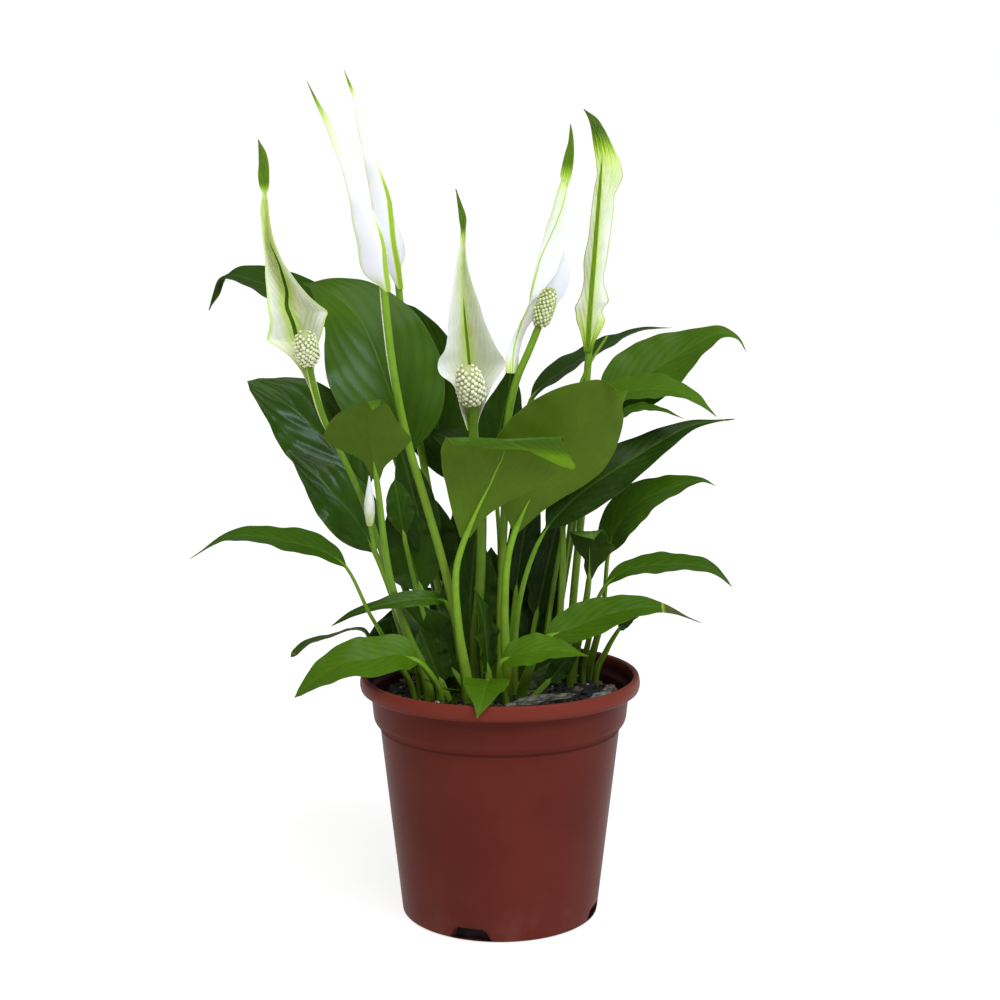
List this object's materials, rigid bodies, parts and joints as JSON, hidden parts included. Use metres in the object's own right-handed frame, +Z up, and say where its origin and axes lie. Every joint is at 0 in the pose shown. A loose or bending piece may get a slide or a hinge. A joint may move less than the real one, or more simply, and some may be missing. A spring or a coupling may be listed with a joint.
{
  "type": "potted peace lily",
  "caption": "Peace lily in a round nursery pot: long-stalked glossy leaves and white hooded flowers on upright stalks.",
  "frame": {"origin": "middle of the flat underside of the pot", "axes": "+Z up; -Y is the front of the plant, +X its right side as seen from the front"},
  "size_m": [0.2389, 0.1339, 0.361],
  "materials": {
    "terracotta_plastic": "satin moulded plastic, terracotta brown",
    "peat": "dark crumbly peat mix",
    "leaf_green": "glossy above, matt below",
    "stalk_green": "smooth",
    "spathe_white": "matt, slightly see-through",
    "spadix_cream": "matt and knobbly"
  },
  "bodies": {
    "root": {"pot": "terracotta_plastic", "potting_soil": "peat", "leaf_far_back_left": "leaf_green", "leaf_long_dark": "leaf_green", "leaf_behind_great": "leaf_green", "leaf_great": "leaf_green", "leaf_back_middle": "leaf_green", "leaf_back_right": "leaf_green", "leaf_shaded_back": "leaf_green", "leaf_striped": "leaf_green", "leaf_glossy_left": "leaf_green", "leaf_lower_left": "leaf_green", "leaf_right_sliver": "leaf_green", "leaf_shaded_right": "leaf_green", "leaf_right_upper": "leaf_green", "leaf_twisted": "leaf_green", "leaf_right_arching": "leaf_green", "leaf_low_inner": "leaf_green", "leaf_broad_olive": "leaf_green", "leaf_folded_olive": "leaf_green", "leaf_cupped_left": "leaf_green", "leaf_left_arching": "leaf_green", "leaf_curled_left": "leaf_green", "leaf_narrow_left": "leaf_green", "leaf_over_rim_left": "leaf_green", "leaf_low_right": "leaf_green", "leaf_low_front": "leaf_green", "leaf_over_rim_front": "leaf_green", "leaf_seedling": "leaf_green", "leaf_heart_1": "leaf_green", "leaf_heart_2": "leaf_green", "leaf_heart_3": "leaf_green", "leaf_heart_4": "leaf_green", "leaf_heart_5": "leaf_green", "leaf_heart_6": "leaf_green", "leaf_furled": "leaf_green", "flower_stalk_1": "stalk_green", "flower_stalk_2": "stalk_green", "flower_stalk_3": "stalk_green", "flower_stalk_4": "stalk_green", "flower_stalk_5": "stalk_green", "flower_stalk_6": "stalk_green", "flower_stalk_7": "stalk_green", "spathe_1": "spathe_white", "spathe_2": "spathe_white", "spathe_3": "spathe_white", "spathe_4": "spathe_white", "spathe_5": "spathe_white", "spathe_6": "spathe_white", "flower_bud": "spathe_white", "spadix_1": "spadix_cream", "spadix_2": "spadix_cream", "spadix_3": "spadix_cream", "spadix_4": "spadix_cream", "spadix_5": "spadix_cream", "spadix_6": "spadix_cream"}
  },
  "joints": []
}
